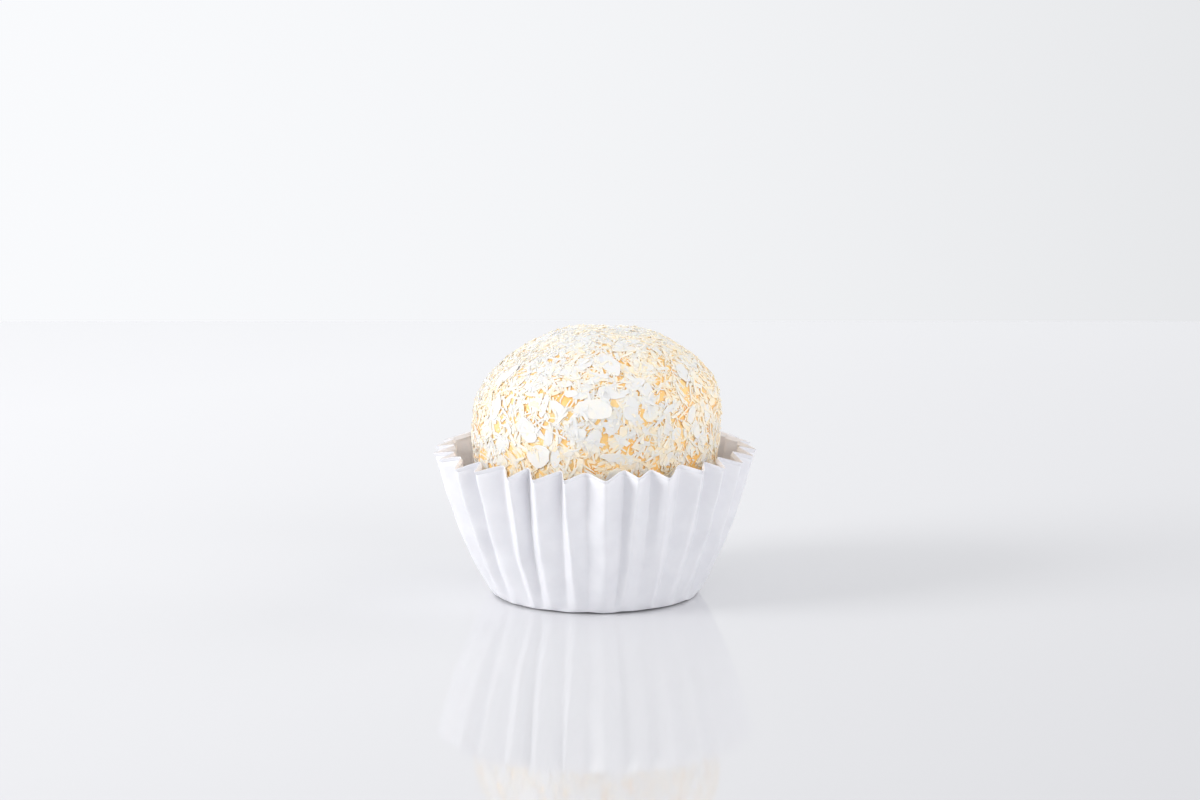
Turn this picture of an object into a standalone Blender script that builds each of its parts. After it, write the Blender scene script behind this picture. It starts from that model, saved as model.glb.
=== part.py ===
"""A coconut brigadeiro standing in its fluted white paper case.

Two pieces: the hand-rolled ball of sweet, and the pleated paper case that holds it. The part is
modelled in metres, +Z up, with its origin under the middle of the case, on the surface it stands on.
"""

import math
import random

import bmesh
import bpy
from mathutils import Vector, noise

# Paper case: a flat disc of paper pressed into a cup, so the pleats take up the spare rim.
FLOOR_RADIUS = 0.0126  # flat part of the floor
HEEL_RADIUS = 0.0004  # roundness of the heel, where the floor turns up into the wall
SLANT = 0.01904  # from the heel to the rim, measured along the paper
LEAN = math.radians(17.68)  # the wall's mean lean away from upright
BELLY = 0.0005  # how far the wall rounds out between foot and rim
HEEL_ARC = HEEL_RADIUS * (math.pi / 2 - LEAN)  # length of paper in the heel
HEEL_HEIGHT = HEEL_RADIUS * (1 - math.sin(LEAN))
BASE_RADIUS = FLOOR_RADIUS + HEEL_RADIUS * math.cos(LEAN)  # foot of the wall, at the heel's top
PAPER = 0.0002  # thickness of the paper wall and floor
FLUTES = 29
FOLDS = 2 * FLUTES  # counted round the wall: the even folds are ridges, the odd ones valleys
FOLD_ANGLE = 2 * math.pi / FOLDS
FIRST_RIDGE = math.radians(-86.4)  # direction of fold 0 from +X, a little off the front
CREASE = 0.95  # 0 gives round waves, 1 gives knife folds
OVAL = 0.012  # how far the rim is from a true circle, as a share of its radius
OVAL_TURN = 0.9  # where round the rim the oval lies
FOLD_POINTS = (-0.18, 0.0, 0.18)  # places of the wall's points round each fold, in folds
WALL_ROWS = (0.07, 0.18, 0.38, 0.62, 0.84, 1.0)  # rows up the wall, as shares of SLANT
HEEL_ROWS = (0.5, 1.0)  # rings of the heel, as shares of HEEL_ARC

# Sweet: a ball with a full dome above its widest place and a long taper down into the case.
BALL_RADIUS = 0.01555
WIDEST_HEIGHT = 0.02265  # height of the ball's widest place above the table
DOME_HEIGHT = 0.0108  # from the widest place to the crown
TAPER_DEPTH = 0.0232  # from the widest place to where the taper would close
DOME_FULLNESS = 2.2  # exponent of the dome's outline, 2 being an ellipse
CLEARANCE = 0.0003  # between the ball's foot and the case's floor
LUMP = 0.00030  # height of the soft lumps left by rolling
LUMP_SIZE = 0.0075
GRAIN = 0.00022  # height of the grain that the coating gives the surface
GRAIN_SIZE = 0.0016
# Flats pressed in by the palms: direction, depth and half-angle.
PALM_FLATS = (
    (Vector((-0.82, -0.05, 0.57)), 0.00190, math.radians(40)),
    (Vector((0.15, 0.85, 0.50)), 0.00050, math.radians(34)),
    (Vector((0.05, -0.20, 1.00)), 0.00025, math.radians(30)),
)
BALL_SEGMENTS = 60
BALL_RINGS = 32

PAPER_WHITE = (0.83, 0.83, 0.86, 1.0)
COCONUT_CREAM = (0.91, 0.80, 0.62, 1.0)

# How far each fold strays along the rim and along the foot, and its share of the full depth.
chance = random.Random(187366)
RIM_WANDER = [chance.uniform(-0.40, 0.40) * FOLD_ANGLE for _ in range(FOLDS)]
FOLD_PUSH = [chance.uniform(0.55, 1.20) for _ in range(FOLDS)]
FOOT_WANDER = [chance.uniform(-0.35, 0.35) * FOLD_ANGLE for _ in range(FOLDS)]


def clear_scene():
    for obj in list(bpy.data.objects):
        bpy.data.objects.remove(obj)


def make_material(name, colour, roughness):
    material = bpy.data.materials.new(name)
    material.use_nodes = True
    shader = material.node_tree.nodes["Principled BSDF"]
    shader.inputs["Base Color"].default_value = colour
    shader.inputs["Roughness"].default_value = roughness
    shader.inputs["Metallic"].default_value = 0.0
    return material


def make_object(name, bm, material):
    bmesh.ops.recalc_face_normals(bm, faces=bm.faces)
    mesh = bpy.data.meshes.new(name)
    bm.to_mesh(mesh)
    bm.free()
    mesh.materials.append(material)
    obj = bpy.data.objects.new(name, mesh)
    bpy.context.collection.objects.link(obj)
    return obj


def pleat_depth(run):
    """Ridge-to-valley depth at a distance up the wall: what folds a flat ring to the wall's girth."""
    flat_radius = BASE_RADIUS + run
    wall_radius = BASE_RADIUS + run * math.sin(LEAN)
    folded = FOLD_ANGLE * math.sqrt(flat_radius**2 - wall_radius**2)
    return min(folded, run)


def between(values, place):
    """A value given for each fold, read at a place between two folds."""
    fold = math.floor(place)
    share = place - fold
    return values[fold % FOLDS] * (1 - share) + values[(fold + 1) % FOLDS] * share


def wall_point(place, run):
    """Outer face of the paper wall, at a place round it counted in folds, and a distance up it."""
    fold = math.floor(place + 0.5)
    bulge = math.asin(CREASE * math.cos(math.pi * (place - fold))) / math.asin(CREASE)
    bulge *= FOLD_PUSH[fold % FOLDS] * pleat_depth(run) / 2
    climb = run / SLANT
    angle = FIRST_RIDGE + FOLD_ANGLE * place
    angle += between(RIM_WANDER, place) * climb + between(FOOT_WANDER, place) * (1 - climb)
    radius = BASE_RADIUS + run * math.sin(LEAN) + (bulge if fold % 2 == 0 else -bulge)
    radius += BELLY * math.sin(math.pi * climb)
    radius *= 1 + OVAL * climb * math.sin(2 * angle + OVAL_TURN)
    height = HEEL_HEIGHT + math.sqrt(run**2 - (radius - BASE_RADIUS) ** 2)
    return Vector((radius * math.cos(angle), radius * math.sin(angle), height))


def sheet_point(place, reach):
    """Outer face of the sheet, at a distance from the floor's middle measured along the paper."""
    if reach > FLOOR_RADIUS + HEEL_ARC:
        return wall_point(place, reach - FLOOR_RADIUS - HEEL_ARC)
    turn = max(reach - FLOOR_RADIUS, 0.0) / HEEL_RADIUS
    radius = min(reach, FLOOR_RADIUS) + HEEL_RADIUS * math.sin(turn)
    height = HEEL_RADIUS * (1 - math.cos(turn))
    angle = FIRST_RIDGE + FOLD_ANGLE * place + between(FOOT_WANDER, place)
    return Vector((radius * math.cos(angle), radius * math.sin(angle), height))


def make_paper_case(material):
    """One sheet, a grid wrapped round its middle and closed on itself, then given its thickness."""
    places = [fold + offset for fold in range(FOLDS) for offset in FOLD_POINTS]
    reaches = [0.0, FLOOR_RADIUS]
    reaches += [FLOOR_RADIUS + HEEL_ARC * share for share in HEEL_ROWS]
    reaches += [FLOOR_RADIUS + HEEL_ARC + SLANT * share for share in WALL_ROWS]
    columns, rows = len(places), len(reaches) - 1

    bm = bmesh.new()
    bmesh.ops.create_grid(bm, x_segments=columns, y_segments=rows, size=0.5)
    for v in bm.verts:
        column = round((v.co.x + 0.5) * columns) % columns
        row = round((v.co.y + 0.5) * rows)
        v.co = sheet_point(places[column], reaches[row])
    bmesh.ops.remove_doubles(bm, verts=bm.verts, dist=1e-7)
    case = make_object("paper_case", bm, material)

    wall = case.modifiers.new("paper thickness", "SOLIDIFY")
    wall.thickness = PAPER
    wall.offset = -1
    wall.use_even_offset = True
    wall.use_quality_normals = True
    return case


def ball_point(direction):
    """Surface of the ball in a direction from the middle of its widest place."""
    up = direction.z
    across = math.hypot(direction.x, direction.y)
    if up > 0:
        power = DOME_FULLNESS
        height = DOME_HEIGHT
    else:
        power = 2
        height = TAPER_DEPTH
    reach = ((across / BALL_RADIUS) ** power + (abs(up) / height) ** power) ** (-1 / power)
    for flat, depth, spread in PALM_FLATS:
        away = direction.angle(flat) / spread
        reach -= depth * math.exp(-(away**2) * 2)
    reach += LUMP * noise.noise(direction * BALL_RADIUS / LUMP_SIZE)
    reach += GRAIN * noise.noise(direction * BALL_RADIUS / GRAIN_SIZE)
    point = direction * reach + Vector((0, 0, WIDEST_HEIGHT))
    point.z = max(point.z, PAPER + CLEARANCE)
    return point


def make_ball(material):
    bm = bmesh.new()
    bmesh.ops.create_uvsphere(bm, u_segments=BALL_SEGMENTS, v_segments=BALL_RINGS, radius=1)
    for v in bm.verts:
        v.co = ball_point(v.co.normalized())
    ball = make_object("brigadeiro_ball", bm, material)
    ball.data.shade_smooth()
    return ball


def main():
    clear_scene()
    make_paper_case(make_material("white paper", PAPER_WHITE, 0.55))
    make_ball(make_material("coconut coating", COCONUT_CREAM, 0.7))


main()
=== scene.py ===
"""Looks of a coconut brigadeiro standing in its fluted white paper case. Metres, +Z up."""

import functools
import itertools
import math
import random

import bmesh
import bpy
from mathutils import Matrix, Vector, noise


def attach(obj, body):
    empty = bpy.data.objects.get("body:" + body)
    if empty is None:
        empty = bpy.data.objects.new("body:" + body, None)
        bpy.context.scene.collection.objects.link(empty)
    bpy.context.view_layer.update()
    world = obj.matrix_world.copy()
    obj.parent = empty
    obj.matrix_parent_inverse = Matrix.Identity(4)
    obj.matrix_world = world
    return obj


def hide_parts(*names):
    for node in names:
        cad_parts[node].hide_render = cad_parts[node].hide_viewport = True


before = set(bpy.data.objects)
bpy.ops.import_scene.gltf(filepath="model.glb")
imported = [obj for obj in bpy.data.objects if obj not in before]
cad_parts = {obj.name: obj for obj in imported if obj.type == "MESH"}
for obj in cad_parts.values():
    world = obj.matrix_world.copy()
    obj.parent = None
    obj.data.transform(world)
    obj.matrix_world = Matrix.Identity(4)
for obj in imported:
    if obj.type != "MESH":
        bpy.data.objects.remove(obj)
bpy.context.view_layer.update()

# ---------------------------------------------------------------- paper case, as the CAD folds it
FLOOR_RADIUS = 0.0126  # flat part of the floor
HEEL_RADIUS = 0.0004  # roundness of the heel, where the floor turns up into the wall
SLANT = 0.01904  # from the heel to the rim, measured along the paper
LEAN = math.radians(17.68)  # the wall's mean lean away from upright
BELLY = 0.0008  # how far the wall rounds out between foot and rim
HEEL_ARC = HEEL_RADIUS * (math.pi / 2 - LEAN)  # length of paper in the heel
HEEL_HEIGHT = HEEL_RADIUS * (1 - math.sin(LEAN))
BASE_RADIUS = FLOOR_RADIUS + HEEL_RADIUS * math.cos(LEAN)  # foot of the wall, at the heel's top
FLUTES = 29
FOLDS = 2 * FLUTES  # counted round the wall: the even folds are ridges, the odd ones valleys
FOLD_ANGLE = 2 * math.pi / FOLDS
FIRST_RIDGE = math.radians(-86.4)  # direction of fold 0 from +X, a little off the front
OVAL = 0.012  # how far the rim is from a true circle, as a share of its radius
OVAL_TURN = 0.9  # where round the rim the oval lies

# How the paper runs between two folds. The widths are shares of the panel between them.
RIDGE_ROUND = 0.13  # half-width of a ridge's rounded back
FOOT_ROUND = 0.20  # how much wider that back is at the foot
VALLEY_ROUND = 0.12  # half-width of a valley's rounded bottom
RIM_ROUND = 0.12  # how much wider that bottom is at the rim
RIM_REACH = 0.12  # share of the wall's height over which it widens
PROFILE_STEPS = 48
SLACK = 0.62  # how deep the folds stand, as a share of what the paper they take up would give
RIM_SLACK = 0.85  # the same at the rim

# Paper that is 0.09 mm thick, with a lip under its cut edge and a line pressed in under the lip.
PAPER = 0.00009
RIM_LIP = 0.00042  # width of the band under the cut edge that curls outwards
LIP_CURL = 0.00014
GROOVE_PLACE = 1.15 * RIM_LIP  # down from the cut edge
GROOVE_DEPTH = 0.00010
GROOVE_WIDTH = 0.00007

# The sheet's floor springs up a hair at its edge, and its wall waves in and out and sideways.
HEEL_LIFT = 0.00016
HEEL_WIDTH = 0.0011
SWAY, SWAY_WAVES = 0.011, 3.1  # radians along the rim, and how closely it waves
BUCKLE, BUCKLE_WAVES = 0.00016, 5.3  # in and out
WAVE_CLIMB = 1.2  # how closely it waves up the wall, for how closely it does round it
WAVE_ONSET = 0.7  # how soon the waves set in away from the sheet's edges: sooner below 1
BUCKLE_SHIFT = Vector((7, 3, 1))

# Points of the sheet: shares of the way from one fold to the next, and of the floor's radius, and
# places up the wall and down from the cut edge. They are close where the paper turns.
COLUMNS = (0.0, 0.04, 0.09, 0.16, 0.28, 0.5, 0.72, 0.84, 0.91, 0.96)
FLOOR_SHARES = (0.0, 0.35, 0.7, 0.85, 0.92, 0.96, 0.98, 1.0)
HEEL_STEPS = 6
FOOT_RUNS = (0.00014, 0.0003, 0.0005, 0.0008, 0.0012, 0.0018)
WALL_START, WALL_SPAN, WALL_STEPS = 0.0024, 0.0161, 26
LIP_START = 1.7 * RIM_LIP
LIP_SHARES = (1.5, 1.3, 1.15, 1.0, 0.8, 0.55, 0.3, 0.1, 0.0)
SEAM = 1e-7  # points closer than this are one
CASE_MIDDLE = (0, 0, 0.014)  # a place inside the case that its inner face looks towards

# How far each fold strays along the rim and along the foot, its share of the full depth, and how
# far the floor's edge springs up there.
chance = random.Random(187366)
RIM_WANDER = [chance.uniform(-0.40, 0.40) * FOLD_ANGLE for _ in range(FOLDS)]
FOLD_PUSH = [chance.uniform(0.55, 1.20) for _ in range(FOLDS)]
FOOT_WANDER = [chance.uniform(-0.35, 0.35) * FOLD_ANGLE for _ in range(FOLDS)]
HEEL_LIFTS = [chance.uniform(0.4, 1.6) * HEEL_LIFT for _ in range(FOLDS)]

# Dents pressed into the wall: place in folds, run up the wall, depth, width along each.
DENTS = (
    (1.6, 0.0068, 0.00022, 0.5, 0.0011),
    (9.3, 0.0090, 0.00035, 0.35, 0.0020),
    (54.2, 0.0072, 0.00018, 0.6, 0.0009),
    (20.5, 0.0110, 0.00030, 0.5, 0.0016),
    (33.4, 0.0060, 0.00028, 0.5, 0.0012),
)
DENT_END = 9  # square of the distance from a dent, in its widths, where it has died out

# ---------------------------------------------------------------- sweet, as the CAD rolls it
BALL_RADIUS = 0.01555
WIDEST_HEIGHT = 0.02265  # height of the ball's widest place above the table
DOME_HEIGHT = 0.0108  # from the widest place to the crown
TAPER_DEPTH = 0.0232  # from the widest place to where the taper would close
DOME_FULLNESS = 2.2  # exponent of the dome's outline, 2 being an ellipse
BALL_FOOT = 0.0006  # height of the ball's foot above the table
LUMP = 0.00030  # height of the soft lumps left by rolling
LUMP_SIZE = 0.0075
# Flats pressed in by the palms: direction, depth and half-angle.
PALM_FLATS = (
    (Vector((-0.82, -0.05, 0.57)), 0.00190, math.radians(40)),
    (Vector((0.15, 0.85, 0.50)), 0.00050, math.radians(34)),
    (Vector((0.05, -0.20, 1.00)), 0.00025, math.radians(30)),
)
COATING = 0.00012  # thickness of the coconut coat outside the sticky core
CORE_LUMPS = ((0.00007, 0.0021), (0.00003, 0.0008))  # height and size
CORE_FINENESS = 7  # subdivisions of the core's sphere
NORMAL_STEP = 0.02  # how far round the ball its slope is measured, in radians
ASKEW = Vector((0.3, 0.2, 0.93))  # a direction askew to every piece of coconut
MM = 1000  # millimetres in a metre

# ---------------------------------------------------------------- coat of dried coconut
COAT_FLOOR = 0.009  # height above the table from which the pieces of coconut are laid
DUSTED_BAND = 0.002  # height over which the sweet's white dusting fades out above that

# How creamy the coconut is, from the sweet's fat it takes up: more where it is pressed in, in some
# patches, and on the underside of each piece.
# Where it is pressed in and on the undersides, the cream is also painted warm light, for the
# sweet's glow through the thin coconut.
SUNK_SOAK_AND_GLOW = 0.5
PATCH_SOAK = 0.45
UNDER_SOAK_AND_GLOW = 0.5
PATCH_SIZE = 0.0065
PATCH_SHIFT = Vector((2.0, 5.0, 1.0))
CREAM_SIDE = Vector((0.12, -0.22, -0.22))  # the side on which more of it is creamy

# Each kind of coconut piece: cells along and across its sheet, breadth and thickness for a length
# of 1, how far its ends narrow, how far its corners stray, and how far it bends and twists.
PIECE_KINDS = {
    "big chip": ((4, 3), 1.0, 0.03, 0.35, 0.05, 0.05, 0.06),
    "chip": ((3, 2), 0.60, 0.05, 0.45, 0.08, 0.08, 0.1),
    "flake": ((2, 1), 0.42, 0.07, 0.60, 0.12, 0.12, 0.15),
    "shred": ((3, 1), 0.15, 0.05, 0.80, 0.06, 0.12, 0.2),
}
SLIVER_EDGE = 0.49  # points further out than this are on the sheet's edge
SLIVER_SLANT = 0.35
END_TAPER = 1.5  # how late the narrowing of the ends sets in
CORNER_CUT = 0.80  # corners of chips are rubbed off: share left of their distance from the middle
CURLS = (-0.6, 1)  # more pieces curl up at their ends than down
CURL_LEVEL = 0.08  # keeps a curled piece at its height, being about the mean of its length squared
CRUMB_CORNERS = (0.6, 1.1)
CRUMB_FLATNESS = 0.6
SHAPES = 14  # different pieces of a kind, each laid many times over
BREADTHS = (0.65, 1.35)  # how much each of those is narrowed or broadened

# How the coat is strewn: name of the finished piece, kind of coconut, how many, least and largest
# size with an exponent for how far the small ones outnumber the large, tilt, how far down it is
# pressed, and soak.
COAT = (
    (
        "coconut_crumbs", "crumb", 5000,
        (0.00016, 0.00040, 1.5), 0.4, (-0.00016, -0.00010), (0.1, 0.5),
    ),
    (
        "coconut_flakes", "flake", 4200,
        (0.0006, 0.0017, 1.4), 0.06, (-0.00016, -0.00006), (-0.2, 0.2),
    ),
    (
        "coconut_shreds", "shred", 7000,
        (0.0008, 0.0024, 1.2), 0.07, (-0.00014, -0.00004), (-0.2, 0.2),
    ),
    (
        "coconut_chips", "chip", 110,
        (0.0013, 0.0026, 1.2), 0.03, (-0.00010, -0.00005), (-0.3, 0.1),
    ),
)

# The large chips on the front: where each lies in degrees, from the front towards the right and
# upwards, its length and breadth in mm, how many degrees its length slopes, and its soak.
BIG_CHIPS = (
    (-7, 37, 2.5, 2.0, 80, -0.2), (9, 36, 3.6, 2.1, -50, -0.3), (1, 27, 2.7, 0.9, 25, -0.2),
    (29, 33, 2.5, 1.8, -30, 0.1), (19, 31, 1.5, 1.3, 60, -0.1), (26, 18, 2.8, 1.5, 85, -0.1),
    (17, 12, 2.8, 1.8, 80, -0.1), (8, 20, 3.3, 1.5, -15, -0.3), (-1, 12, 4.3, 2.6, 10, 0.0),
    (-17, 12, 2.3, 1.6, -60, -0.3), (-6, 21, 2.0, 1.6, 60, -0.2), (-32, 1, 3.0, 2.2, -40, -0.4),
    (-21, -1, 2.0, 1.1, 80, -0.3), (-26, -10, 3.2, 2.8, 40, -0.4), (-1, -3, 3.2, 1.7, 80, -0.3),
    (8, 4, 1.9, 1.6, 20, 0.0), (21, 24, 2.4, 1.5, 5, -0.1), (-16, 24, 1.9, 1.1, 20, -0.2),
    (56, 26, 2.6, 2.2, 70, -0.1), (26, 9, 1.9, 1.6, 45, 0.1), (10, -10, 4.2, 1.1, -8, 0.0),
    (39, -1, 1.8, 1.4, 50, 0.0), (-8, 1, 2.4, 1.4, 5, -0.1), (-112, 74, 2.4, 1.3, 20, -0.2),
    (-165, 82, 2.6, 1.2, -5, -0.2), (103, 79, 1.8, 1.3, 60, -0.1), (36, 55, 3.0, 1.6, 0, -0.1),
    (89, 58, 2.4, 1.2, -15, 0.0), (-24, 49, 2.4, 1.2, 30, -0.2), (63, 5, 2.2, 1.3, 70, -0.1),
    (-24, 13, 2.9, 0.8, 80, -0.3), (-18, 31, 2.4, 1.4, 10, -0.2), (-30, 31, 2.4, 1.4, 0, -0.2),
    (-60, 26, 3.4, 2.6, 20, -0.4), (-54, 9, 3.0, 2.0, 60, -0.3), (50, 6, 2.2, 1.2, 60, 0.0),
    (23, 48, 3.0, 1.3, -5, 0.0), (-47, -7, 2.6, 1.8, 30, -0.2), (-18, -10, 2.2, 1.3, 70, -0.1),
    (35, -12, 2.0, 1.1, 60, 0.1),
)
BIG_CHIP_TILT = 0.03
BIG_CHIP_DEPTH = -0.00006

# Spots on the front where the coat lets the sweet show: the same two angles, and a radius in mm.
BARE_SPOTS = (
    (-2, 36, 0.28), (2, 32, 0.19), (-5, 27, 0.19), (17, 37, 0.10), (20, 36, 0.10),
    (49, 30, 0.19), (52, 20, 0.37), (41, 42, 0.10), (-48, 28, 0.19), (-43, 22, 0.19),
    (-43, 16, 0.10), (-21, 10, 0.28), (-11, 10, 0.19), (-8, 16, 0.10), (9, 15, 0.19),
    (12, 5, 0.28), (10, 3, 0.19), (22, 10, 0.10), (23, 6, 0.37), (-14, -1, 0.28),
    (5, -3, 0.19), (4, -5, 0.10), (14, -5, 0.19), (19, -7, 0.10), (-31, 6, 0.19),
    (-31, -4, 0.10), (-26, -5, 0.10), (-34, -11, 0.19), (-25, -17, 0.19), (-28, -18, 0.19),
    (-13, -20, 0.37), (-5, -10, 0.19), (1, -10, 0.19), (54, -9, 0.19), (54, -18, 0.37),
    (-45, -16, 0.19), (60, 12, 0.19), (41, 1, 0.10), (48, 10, 0.10), (-30, 44, 0.10),
    (28, -7, 0.10), (-10, -14, 0.19), (33, 14, 0.10), (-21, 5, 0.10),
)
BARE_MARGIN = 0.22  # share of a piece's size by which it keeps off them

# Specks of the nut's brown skin: the same two angles.
SKIN_SPECKS = (
    (14, 5), (-59, -8), (40, 30), (150, 20), (-120, 5), (95, -4), (-165, 35), (110, 50),
)
SPECK_LENGTH, SPECK_BREADTH, SPECK_DEPTH = 0.00028, 0.0002, -0.00002

coat_rng = random.Random(29)


# ---------------------------------------------------------------- small helpers
def finished(name, bm, material, smooth=True):
    """The bmesh becomes an object of that name and material."""
    mesh = bpy.data.meshes.new(name)
    bm.to_mesh(mesh)
    bm.free()
    mesh.materials.append(material)
    obj = bpy.data.objects.new(name, mesh)
    bpy.context.collection.objects.link(obj)
    if smooth:
        mesh.shade_smooth()
    return obj


def between(values, place):
    """A value given for each fold, read at a place between two folds."""
    fold = math.floor(place)
    share = place - fold
    return values[fold % FOLDS] * (1 - share) + values[(fold + 1) % FOLDS] * share


# ---------------------------------------------------------------- what the finishes are made of
def new_finish(name, roughness):
    material = bpy.data.materials.new(name)
    material.use_nodes = True
    tree = material.node_tree
    shader = tree.nodes["Principled BSDF"]
    shader.inputs["Roughness"].default_value = roughness
    return material, tree, shader


def let_light_in(shader, weight, radius, scale):
    """Some light goes in and comes out a little further on."""
    shader.inputs["Subsurface Weight"].default_value = weight
    shader.inputs["Subsurface Radius"].default_value = radius
    shader.inputs["Subsurface Scale"].default_value = scale


def add(tree, kind, **settings):
    """A node with its sockets and settings filled in."""
    node = tree.nodes.new(kind)
    for key, value in settings.items():
        if key in node.inputs:
            node.inputs[key].default_value = value
        else:
            setattr(node, key, value)
    return node


def coordinates(tree, kind="Object"):
    return add(tree, "ShaderNodeTexCoord").outputs[kind]


def mottling(tree, scale, detail):
    """A factor that varies at random through the piece."""
    cloud = add(tree, "ShaderNodeTexNoise", Scale=scale, Detail=detail)
    tree.links.new(coordinates(tree), cloud.inputs["Vector"])
    return cloud.outputs["Fac"]


def ramp(tree, factor, *stops):
    """A colour for each factor, between stops that give a place and its colour."""
    tone = add(tree, "ShaderNodeValToRGB")
    elements = tone.color_ramp.elements
    elements[0].position, elements[0].color = stops[0]
    elements[1].position, elements[1].color = stops[-1]
    for place, colour in stops[1:-1]:
        elements.new(place).color = colour
    tree.links.new(factor, tone.inputs["Fac"])
    return tone.outputs["Color"]


def mixed_colour(tree, factor, first, second):
    """From the first colour to the second, each of them a socket or a value."""
    mixed = add(tree, "ShaderNodeMix", data_type="RGBA")
    tree.links.new(factor, mixed.inputs["Factor"])
    for socket, colour in ((mixed.inputs[6], first), (mixed.inputs[7], second)):
        if isinstance(colour, tuple):
            socket.default_value = colour
        else:
            tree.links.new(colour, socket)
    return mixed.outputs[2]


def remapped(tree, value, start, end, low=0.0, high=1.0, course="LINEAR"):
    """A value's way from start to end becomes the way from low to high."""
    node = add(tree, "ShaderNodeMapRange", interpolation_type=course)
    node.inputs["From Min"].default_value = start
    node.inputs["From Max"].default_value = end
    node.inputs["To Min"].default_value = low
    node.inputs["To Max"].default_value = high
    tree.links.new(value, node.inputs["Value"])
    return node.outputs["Result"]


def reach_towards(tree, vector, direction):
    """How far a vector goes in a direction."""
    node = add(tree, "ShaderNodeVectorMath", operation="DOT_PRODUCT")
    node.inputs[1].default_value = direction
    tree.links.new(vector, node.inputs[0])
    return node.outputs["Value"]


def emboss(tree, shader, height, strength, distance):
    bump = add(tree, "ShaderNodeBump", Strength=strength, Distance=distance)
    tree.links.new(height, bump.inputs["Height"])
    tree.links.new(bump.outputs["Normal"], shader.inputs["Normal"])


# ---------------------------------------------------------------- finishes
def paper_finish():
    material, tree, shader = new_finish("white greaseproof paper", 0.42)
    shader.inputs["Specular IOR Level"].default_value = 0.45
    let_light_in(shader, 0.12, (1.0, 0.85, 0.80), 0.00025)
    outside = ramp(
        tree,
        mottling(tree, 420.0, 3.0),
        (0.35, (0.762, 0.762, 0.80, 1)),
        (0.65, (0.798, 0.798, 0.832, 1)),
    )

    # The inner face, which looks towards the case's axis, is painted warmer and whiter.
    # That is painted light: the light which the thin paper lets through and the sweet throws back.
    outward = add(tree, "ShaderNodeVectorMath", operation="SUBTRACT")
    outward.inputs[1].default_value = CASE_MIDDLE
    tree.links.new(coordinates(tree), outward.inputs[0])
    facing = add(tree, "ShaderNodeVectorMath", operation="DOT_PRODUCT")
    surface = add(tree, "ShaderNodeNewGeometry")
    tree.links.new(surface.outputs["Normal"], facing.inputs[0])
    tree.links.new(outward.outputs["Vector"], facing.inputs[1])
    inside = add(tree, "ShaderNodeMath", operation="LESS_THAN")
    inside.inputs[1].default_value = 0.0
    tree.links.new(facing.outputs["Value"], inside.inputs[0])
    colour = mixed_colour(tree, inside.outputs[0], outside, (0.99, 0.965, 0.99, 1))
    tree.links.new(colour, shader.inputs["Base Color"])
    emboss(tree, shader, mottling(tree, 5200.0, 4.0), 0.12, 0.00002)
    return material


def core_finish():
    material, tree, shader = new_finish("soft milk sweet", 0.42)
    let_light_in(shader, 0.3, (1.0, 0.62, 0.28), 0.0008)
    sweet = ramp(
        tree,
        mottling(tree, 260.0, 4.0),
        (0.36, (0.99, 0.55, 0.17, 1)),
        (0.68, (0.99, 0.71, 0.34, 1)),
    )

    # Down in the case the sweet is dusted white, as no piece of coconut is laid there.
    height = reach_towards(tree, coordinates(tree), (0, 0, 1))
    dusted = remapped(tree, height, COAT_FLOOR + DUSTED_BAND, COAT_FLOOR)
    colour = mixed_colour(tree, dusted, sweet, (0.95, 0.92, 0.90, 1))
    tree.links.new(colour, shader.inputs["Base Color"])
    emboss(tree, shader, mottling(tree, 1800.0, 4.0), 0.5, 0.00008)
    return material


def coconut_finish():
    """Dried coconut: an attribute on each piece says how creamy it is, from the sweet's fat it has
    taken up and from painted warm light on its underside and where it is pressed in.
    """
    material, tree, shader = new_finish("dried coconut", 0.5)
    let_light_in(shader, 0.2, (1.0, 0.70, 0.40), 0.0003)
    cells = mottling(tree, 900.0, 4.0)
    soak_and_glow = add(tree, "ShaderNodeAttribute", attribute_name="soak_and_glow")
    creaminess = add(tree, "ShaderNodeMath", operation="MULTIPLY_ADD")
    creaminess.inputs[1].default_value = 0.8
    tree.links.new(cells, creaminess.inputs[0])
    tree.links.new(soak_and_glow.outputs["Fac"], creaminess.inputs[2])
    colour = ramp(
        tree,
        creaminess.outputs[0],
        (0.3, (0.79, 0.775, 0.755, 1)),
        (0.65, (0.87, 0.82, 0.72, 1)),
        (1.0, (0.96, 0.80, 0.57, 1)),
    )
    tree.links.new(colour, shader.inputs["Base Color"])
    emboss(tree, shader, cells, 0.35, 0.00003)
    return material


def skin_finish():
    material, tree, shader = new_finish("brown coconut skin", 0.6)
    colour = ramp(
        tree,
        mottling(tree, 6000.0, 2.0),
        (0.0, (0.10, 0.035, 0.012, 1)),
        (1.0, (0.30, 0.13, 0.05, 1)),
    )
    tree.links.new(colour, shader.inputs["Base Color"])
    return material


def table_finish():
    """Polished and pale, with painted light: a little whiter towards the window and the back, where
    more light falls on it.
    """
    material, tree, shader = new_finish("pale glossy table", 0.05)
    towards = reach_towards(tree, coordinates(tree), (-0.60, 0.80, 0.0))
    whiter = remapped(tree, towards, -0.12, 0.15)
    colour = mixed_colour(tree, whiter, (0.62, 0.62, 0.64, 1), (0.83, 0.83, 0.85, 1))
    tree.links.new(colour, shader.inputs["Base Color"])
    return material


# ---------------------------------------------------------------- paper case
def pleat_depth(run):
    """Ridge-to-valley depth up the wall that folds a flat ring of paper to the wall's girth."""
    flat_radius = BASE_RADIUS + run
    wall_radius = BASE_RADIUS + run * math.sin(LEAN)
    return min(FOLD_ANGLE * math.sqrt(flat_radius**2 - wall_radius**2), run)


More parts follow.
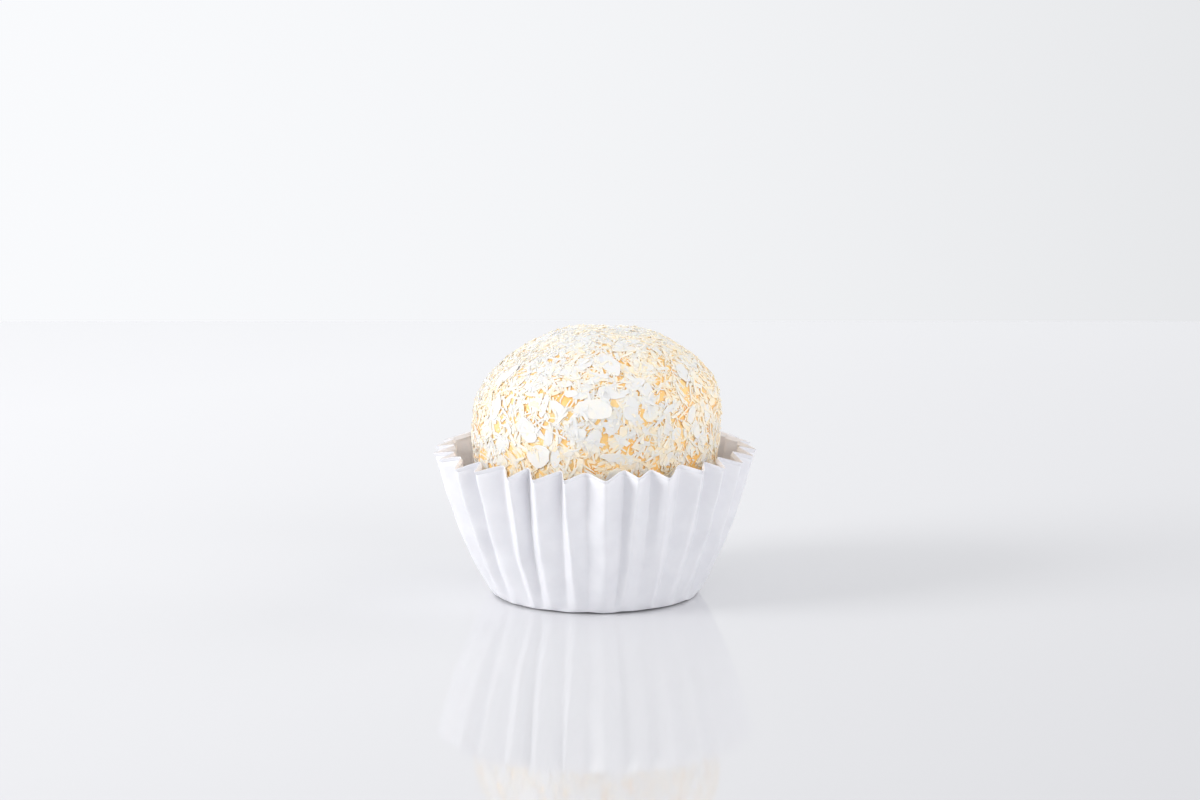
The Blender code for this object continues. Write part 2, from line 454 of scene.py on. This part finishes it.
@functools.lru_cache(maxsize=None)
def panel_profile(ridge_round, valley_round):
    """How far out the paper stands, from a ridge (1) in steps to a valley (0)."""
    slopes = []
    for step in range(PROFILE_STEPS):
        away = (step + 0.5) / PROFILE_STEPS
        ridge = away / math.hypot(away, ridge_round)
        valley = (1 - away) / math.hypot(1 - away, valley_round)
        slopes.append(ridge * valley)
    falls = itertools.accumulate(slopes, initial=0.0)
    total = sum(slopes)
    return [1 - fall / total for fall in falls]


def panel_height(away, climb):
    """How far out the paper stands at a share of the way from a ridge to a valley."""
    widening = max(0.0, 1 - (1 - climb) / RIM_REACH) ** 2
    profile = panel_profile(
        RIDGE_ROUND + FOOT_ROUND * (1 - climb) ** 2, VALLEY_ROUND + RIM_ROUND * widening
    )
    step = min(int(away * PROFILE_STEPS), PROFILE_STEPS - 1)
    share = away * PROFILE_STEPS - step
    return profile[step] * (1 - share) + profile[step + 1] * share


def pleat_bulge(place, run):
    """How far out of its mean surface the wall's folds take it, inwards being negative."""
    fold = math.floor(place)
    climb = run / SLANT
    if fold % 2 == 0:
        ridge, valley, away = fold, fold + 1, place - fold
    else:
        ridge, valley, away = fold + 1, fold, fold + 1 - place
    out, back = FOLD_PUSH[ridge % FOLDS], FOLD_PUSH[valley % FOLDS]
    bulge = ((out + back) * panel_height(away, climb) - back) * pleat_depth(run) / 2
    return bulge * (SLACK + (RIM_SLACK - SLACK) * climb**3)


def waves(angle, climb):
    """Handling leaves the sheet slightly wavy between its two edges: a turn and a push outwards."""
    free = math.sin(math.pi * min(climb, 1.0)) ** WAVE_ONSET if climb > 0 else 0.0
    spot = Vector((math.cos(angle), math.sin(angle), climb * WAVE_CLIMB))
    turn = SWAY * free * noise.noise(spot * SWAY_WAVES)
    push = BUCKLE * free * noise.noise(spot * BUCKLE_WAVES + BUCKLE_SHIFT)
    return turn, push


def dent_depth(place, run):
    depths = 0.0
    for dent_place, dent_run, depth, span, height in DENTS:
        away = ((place - dent_place) / span) ** 2 + ((run - dent_run) / height) ** 2
        if away < DENT_END:
            depths += depth * math.exp(-away)
    return depths


def rim_relief(run):
    """The lip under the cut edge curls outwards, and a line is pressed in under the lip."""
    lip = max(0.0, (run - SLANT + RIM_LIP) / RIM_LIP)
    groove = math.exp(-(((run - SLANT + GROOVE_PLACE) / GROOVE_WIDTH) ** 2))
    return LIP_CURL * lip * lip - GROOVE_DEPTH * groove


def wall_point(place, run):
    """Outer face of the wall, at a place round it counted in folds, and a distance up it."""
    climb = run / SLANT
    angle = FIRST_RIDGE + FOLD_ANGLE * place
    angle += between(RIM_WANDER, place) * climb + between(FOOT_WANDER, place) * (1 - climb)
    radius = BASE_RADIUS + run * math.sin(LEAN) + BELLY * math.sin(math.pi * climb)
    radius += pleat_bulge(place, run)
    radius *= 1 + OVAL * climb * math.sin(2 * angle + OVAL_TURN)
    turn, push = waves(angle, climb)
    angle += turn
    radius += push - dent_depth(place, run) + rim_relief(run)
    height = HEEL_HEIGHT + math.sqrt(max(run**2 - (radius - BASE_RADIUS) ** 2, 0.0))
    return Vector((radius * math.cos(angle), radius * math.sin(angle), height))


def heel_lift(place, reach):
    """The floor's edge springs up a hair, less here and more there."""
    away = (reach - FLOOR_RADIUS) / HEEL_WIDTH
    return between(HEEL_LIFTS, place) * math.exp(-away * away)


def sheet_point(place, reach):
    """Outer face of the sheet, at a distance from the floor's middle measured along the paper."""
    if reach > FLOOR_RADIUS + HEEL_ARC:
        point = wall_point(place, reach - FLOOR_RADIUS - HEEL_ARC)
    else:
        turn = max(reach - FLOOR_RADIUS, 0.0) / HEEL_RADIUS
        radius = min(reach, FLOOR_RADIUS) + HEEL_RADIUS * math.sin(turn)
        height = HEEL_RADIUS * (1 - math.cos(turn))
        angle = FIRST_RIDGE + FOLD_ANGLE * place + between(FOOT_WANDER, place)
        point = Vector((radius * math.cos(angle), radius * math.sin(angle), height))
    point.z += heel_lift(place, reach)
    return point


def case_rows():
    """Distances from the middle of the floor, along the paper, of the sheet's rings of points."""
    floor = [FLOOR_RADIUS * share for share in FLOOR_SHARES]
    heel = [FLOOR_RADIUS + HEEL_ARC * step / HEEL_STEPS for step in range(1, HEEL_STEPS + 1)]
    wall = [WALL_START + WALL_SPAN * step / WALL_STEPS for step in range(WALL_STEPS + 1)]
    lip = [SLANT - RIM_LIP * share for share in LIP_SHARES]
    runs = list(FOOT_RUNS) + [run for run in wall if run < SLANT - LIP_START] + lip
    return floor + heel + [FLOOR_RADIUS + HEEL_ARC + run for run in runs]


def make_case():
    """A grid wrapped round its middle and closed on itself, then given the paper's thickness."""
    reaches = case_rows()
    places = [fold + share for fold in range(FOLDS) for share in COLUMNS]
    columns, rows = len(places), len(reaches) - 1
    bm = bmesh.new()
    bmesh.ops.create_grid(bm, x_segments=columns, y_segments=rows, size=0.5)
    for v in bm.verts:
        column = round((v.co.x + 0.5) * columns) % columns
        row = round((v.co.y + 0.5) * rows)
        v.co = sheet_point(places[column], reaches[row])
    bmesh.ops.remove_doubles(bm, verts=bm.verts, dist=SEAM)
    bmesh.ops.recalc_face_normals(bm, faces=bm.faces)
    # The sheet is open at the rim, so its two faces are told apart by the floor, which looks down.
    floor = min(bm.faces, key=lambda face: face.calc_center_median().z)
    if floor.normal.z > 0:
        bmesh.ops.reverse_faces(bm, faces=bm.faces)
    case = finished("fluted_paper_case", bm, paper_finish())
    wall = case.modifiers.new("paper thickness", "SOLIDIFY")
    wall.thickness = PAPER
    wall.offset = -1
    wall.use_quality_normals = True
    return case


# ---------------------------------------------------------------- sweet
def ball_point(direction, depth=0.0):
    """Surface of the coated ball in a direction from the middle of its widest place."""
    up = direction.z
    across = math.hypot(direction.x, direction.y)
    power, height = (DOME_FULLNESS, DOME_HEIGHT) if up > 0 else (2, TAPER_DEPTH)
    reach = ((across / BALL_RADIUS) ** power + (abs(up) / height) ** power) ** (-1 / power)
    for flat, press, spread in PALM_FLATS:
        away = direction.angle(flat) / spread
        reach -= press * math.exp(-(away**2) * 2)
    reach += LUMP * noise.noise(direction * BALL_RADIUS / LUMP_SIZE)
    point = direction * (reach - depth) + Vector((0, 0, WIDEST_HEIGHT))
    point.z = max(point.z, BALL_FOOT)
    return point


def ball_frame(direction):
    """Surface point and outward normal there."""
    here = ball_point(direction)
    side = direction.cross(ASKEW).normalized()
    over = direction.cross(side).normalized()
    beside = ball_point((direction + side * NORMAL_STEP).normalized()) - here
    beyond = ball_point((direction + over * NORMAL_STEP).normalized()) - here
    normal = beside.cross(beyond).normalized()
    return here, (normal if normal.dot(direction) > 0 else -normal)


def on_ball(turn, rise):
    """Direction from the middle of the ball, from degrees towards the right and upwards."""
    turn, rise = math.radians(turn), math.radians(rise)
    return Vector(
        (math.sin(turn) * math.cos(rise), -math.cos(turn) * math.cos(rise), math.sin(rise))
    )


def make_core():
    bm = bmesh.new()
    bmesh.ops.create_icosphere(bm, subdivisions=CORE_FINENESS, radius=1)
    for v in bm.verts:
        direction = v.co.normalized()
        spot = direction * BALL_RADIUS
        lump = sum(height * noise.noise(spot / size) for height, size in CORE_LUMPS)
        v.co = ball_point(direction, COATING - lump)
    return finished("milk_sweet_core", bm, core_finish())


# ---------------------------------------------------------------- pieces of coconut
def sliver(kind, rng):
    """One sheet of coconut meat about 1 unit long, lying flat: a cut, tapered and curled oblong."""
    (lengthwise, crosswise), width, thick, narrow, stray, bend, twist = PIECE_KINDS[kind]
    bm = bmesh.new()
    bmesh.ops.create_grid(bm, x_segments=lengthwise, y_segments=crosswise, size=0.5)
    slant = rng.uniform(-SLIVER_SLANT, SLIVER_SLANT)
    left, right = rng.uniform(0, narrow), rng.uniform(0, narrow)
    for v in bm.verts:
        x, y = v.co.x, v.co.y
        taper = 1 - (left if x < 0 else right) * (2 * abs(x)) ** END_TAPER
        loose = stray if max(abs(x), abs(y)) > SLIVER_EDGE else 0
        if crosswise > 1 and min(abs(x), abs(y)) > SLIVER_EDGE:
            x, y = x * CORNER_CUT, y * CORNER_CUT
        v.co.x = x + slant * y * width + rng.uniform(-loose, loose)
        v.co.y = y * width * taper + rng.uniform(-loose, loose) * width
    made = bmesh.ops.extrude_face_region(bm, geom=list(bm.faces))
    top = [part for part in made["geom"] if isinstance(part, bmesh.types.BMVert)]
    bmesh.ops.translate(bm, verts=top, vec=(0, 0, thick))
    curl = rng.uniform(*CURLS) * bend
    turn = rng.uniform(-1, 1) * twist
    cup = rng.uniform(-1, 1) * bend
    for v in bm.verts:
        x, y = v.co.x, v.co.y
        v.co.z += curl * (x * x - CURL_LEVEL) + turn * x * y + cup * y * y
    return bm


def crumb(rng):
    """A flattened grain about 1 unit long, with its corners broken off."""
    bm = bmesh.new()
    bmesh.ops.create_icosphere(bm, subdivisions=1, radius=0.5)
    for v in bm.verts:
        v.co *= rng.uniform(*CRUMB_CORNERS)
        v.co.z *= CRUMB_FLATNESS
    return bm


def blank(kind, rng):
    """A piece 1 unit long, to be laid many times; it is creamier on its underside, 1 there and 0 on
    top: partly fat, partly painted warm light from the sweet beneath it.
    """
    bm = crumb(rng) if kind == "crumb" else sliver(kind, rng)
    bmesh.ops.triangulate(bm, faces=bm.faces)
    bmesh.ops.recalc_face_normals(bm, faces=bm.faces)
    mesh = bpy.data.meshes.new(kind)
    bm.to_mesh(mesh)
    bm.free()
    middle = sum(v.co.z for v in mesh.vertices) / len(mesh.vertices)
    under = [float(v.co.z < middle) if kind != "crumb" else 0.0 for v in mesh.vertices]
    mesh.attributes.new("soak_and_glow", "FLOAT", "POINT").data.foreach_set("value", under)
    return mesh


# ---------------------------------------------------------------- laying the coat
bare_spots = [(on_ball(turn, rise), radius / MM) for turn, rise, radius in BARE_SPOTS]


def random_direction(rng):
    z = rng.uniform(-1, 1)
    turn = rng.uniform(0, 2 * math.pi)
    flat = math.sqrt(1 - z * z)
    return Vector((flat * math.cos(turn), flat * math.sin(turn), z))


def patch(direction):
    """How far the sweet has come up through the coat: above 0 in the creamy patches."""
    spot = direction * BALL_RADIUS / PATCH_SIZE
    return noise.noise(spot + PATCH_SHIFT) + CREAM_SIDE.dot(direction)


def is_bare(direction, size):
    """Whether a piece of that size would cover a bare spot."""
    for spot, radius in bare_spots:
        if (direction - spot).length * BALL_RADIUS < radius + BARE_MARGIN * size:
            return True
    return False


def lay(pile, shape, direction, along, lean, depth, size, breadth, soak_and_glow):
    """One piece pressed onto the ball, its length turned along a vector and its face leaning."""
    here, normal = ball_frame(direction)
    up = (normal + lean).normalized()
    along = (along - up * along.dot(up)).normalized()
    turn = Matrix((along, up.cross(along), up)).transposed().to_4x4()
    piece = shape.copy()
    place = Matrix.Translation(here + normal * depth)
    piece.transform(place @ turn @ Matrix.Diagonal((size, breadth, size, 1)))
    # Its underside is made creamier, partly for fat and partly as painted warm light from the sweet
    # beneath it.
    for point in piece.attributes["soak_and_glow"].data:
        point.value = soak_and_glow + UNDER_SOAK_AND_GLOW * point.value
    pile.from_mesh(piece)
    bpy.data.meshes.remove(piece)


def scatter(spread):
    """A vector of three random parts."""
    return Vector([coat_rng.gauss(0, spread) for _ in range(3)])


def strew(pile, kind, count, sizes, tilt, lift, soak_and_glow):
    """Pieces of one kind pressed onto the ball at random."""
    blanks = [blank(kind, coat_rng) for _ in range(SHAPES)]
    least, largest, rarity = sizes
    laid = 0
    while laid < count:
        direction = random_direction(coat_rng)
        size = least + (largest - least) * coat_rng.random() ** rarity
        if ball_point(direction).z < COAT_FLOOR or is_bare(direction, size):
            continue
        laid += 1
        lean = scatter(tilt)
        along = scatter(1)
        depth = coat_rng.uniform(*lift)
        # Pieces pressed in deeper are creamier, partly for fat and partly as painted warm light
        # from the sweet between the pieces.
        sunk = (lift[1] - depth) / (lift[1] - lift[0])
        cream_and_glow = coat_rng.uniform(*soak_and_glow) + SUNK_SOAK_AND_GLOW * sunk + PATCH_SOAK * patch(direction)
        breadth = size * coat_rng.uniform(*BREADTHS)
        shape = blanks[coat_rng.randrange(SHAPES)]
        lay(pile, shape, direction, along, lean, depth, size, breadth, cream_and_glow)
    for mesh in blanks:
        bpy.data.meshes.remove(mesh)


def lay_big_chips(pile):
    """The chips on the front that have a place of their own."""
    for turn, rise, length, breadth, slope, soak_and_glow in BIG_CHIPS:
        direction = on_ball(turn, rise)
        right = Vector((0, 0, 1)).cross(direction).normalized()
        upward = direction.cross(right)
        slope = math.radians(slope)
        along = right * math.cos(slope) + upward * math.sin(slope)
        lean = scatter(BIG_CHIP_TILT)
        shape = blank("big chip", coat_rng)
        size = length / MM
        lay(pile, shape, direction, along, lean, BIG_CHIP_DEPTH, size, breadth / MM, soak_and_glow)
        bpy.data.meshes.remove(shape)


def lay_specks(pile):
    upright, level = Vector((0, 0, 1)), Vector()
    for turn, rise in SKIN_SPECKS:
        direction = on_ball(turn, rise)
        shape = blank("crumb", coat_rng)
        lay(pile, shape, direction, upright, level, SPECK_DEPTH, SPECK_LENGTH, SPECK_BREADTH, 0)
        bpy.data.meshes.remove(shape)


# ---------------------------------------------------------------- build the pieces
case = make_case()
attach(case, "root")
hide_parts("paper_case")

core = make_core()
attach(core, "root")
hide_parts("brigadeiro_ball")

piles = {name: bmesh.new() for name, *_ in COAT}
for name, *how in COAT:
    strew(piles[name], *how)
lay_big_chips(piles["coconut_chips"])
specks = bmesh.new()
lay_specks(specks)

coconut = coconut_finish()
coat = [finished(name, pile, coconut, smooth=False) for name, pile in piles.items()]
coat.append(finished("coconut_skin_specks", specks, skin_finish(), smooth=False))
for piece in coat:
    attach(piece, "root")


# ---------------------------------------------------------------- table, light and camera
TABLE_HALF = 0.21
CAMERA_DISTANCE = 0.500
CAMERA_PITCH = math.radians(10.37)
CAMERA_AIM = Vector((0.00059, 0.0, 0.02431))
LENS = 120.7  # mm, for a frame 36 mm wide
LAMP_AIM = Vector((0, 0, 0.015))

# Square soft lamps: name, place, size, watts, colour, and whether the glossy table mirrors it.
LAMPS = (
    ("window", (-0.80, -0.30, 0.36), 0.40, 5.1, (1.0, 0.995, 0.98), True),
    ("window edge", (-0.62, -0.12, 0.26), 0.40, 0.5, (1.0, 0.995, 0.98), True),
    ("white board", (0.70, -0.85, 0.20), 1.0, 6.6, (1.0, 0.995, 0.99), False),
    ("far wall", (0.85, 0.30, 0.40), 0.8, 2.9, (1.0, 0.99, 0.99), False),
)


def make_table():
    bm = bmesh.new()
    bmesh.ops.create_grid(bm, x_segments=1, y_segments=1, size=TABLE_HALF)
    return finished("table", bm, table_finish(), smooth=False)


def make_room():
    """The wall behind the table is whiter than the rest, and most so on the window's side."""
    world = bpy.data.worlds.new("studio")
    bpy.context.scene.world = world
    world.use_nodes = True
    tree = world.node_tree
    sky = tree.nodes["Background"]
    sky.inputs["Color"].default_value = (0.97, 0.98, 1.0, 1)
    towards = reach_towards(tree, coordinates(tree, "Generated"), (-0.80, 0.60, 0.0))
    strength = remapped(tree, towards, 0.2, 0.75, 0.67, 0.985, course="SMOOTHSTEP")
    tree.links.new(strength, sky.inputs["Strength"])


def add_lamp(name, place, size, watts, colour, mirrored):
    lamp = bpy.data.lights.new(name, "AREA")
    lamp.shape = "SQUARE"
    lamp.size = size
    lamp.energy = watts
    lamp.color = colour
    obj = bpy.data.objects.new(name, lamp)
    bpy.context.collection.objects.link(obj)
    obj.visible_glossy = mirrored
    obj.location = place
    obj.rotation_euler = (LAMP_AIM - Vector(place)).to_track_quat("-Z", "Y").to_euler()


def make_camera():
    lens = bpy.data.cameras.new("camera")
    lens.lens = LENS
    lens.sensor_width = 36.0
    lens.clip_start = 0.01
    camera = bpy.data.objects.new("camera", lens)
    bpy.context.collection.objects.link(camera)
    back = Vector((0, -math.cos(CAMERA_PITCH), math.sin(CAMERA_PITCH)))
    camera.location = CAMERA_AIM + back * CAMERA_DISTANCE
    camera.rotation_euler = (math.pi / 2 - CAMERA_PITCH, 0, 0)
    bpy.context.scene.camera = camera


make_table()
make_room()
for lamp_settings in LAMPS:
    add_lamp(*lamp_settings)
make_camera()
bpy.context.scene.view_settings.view_transform = "Standard"
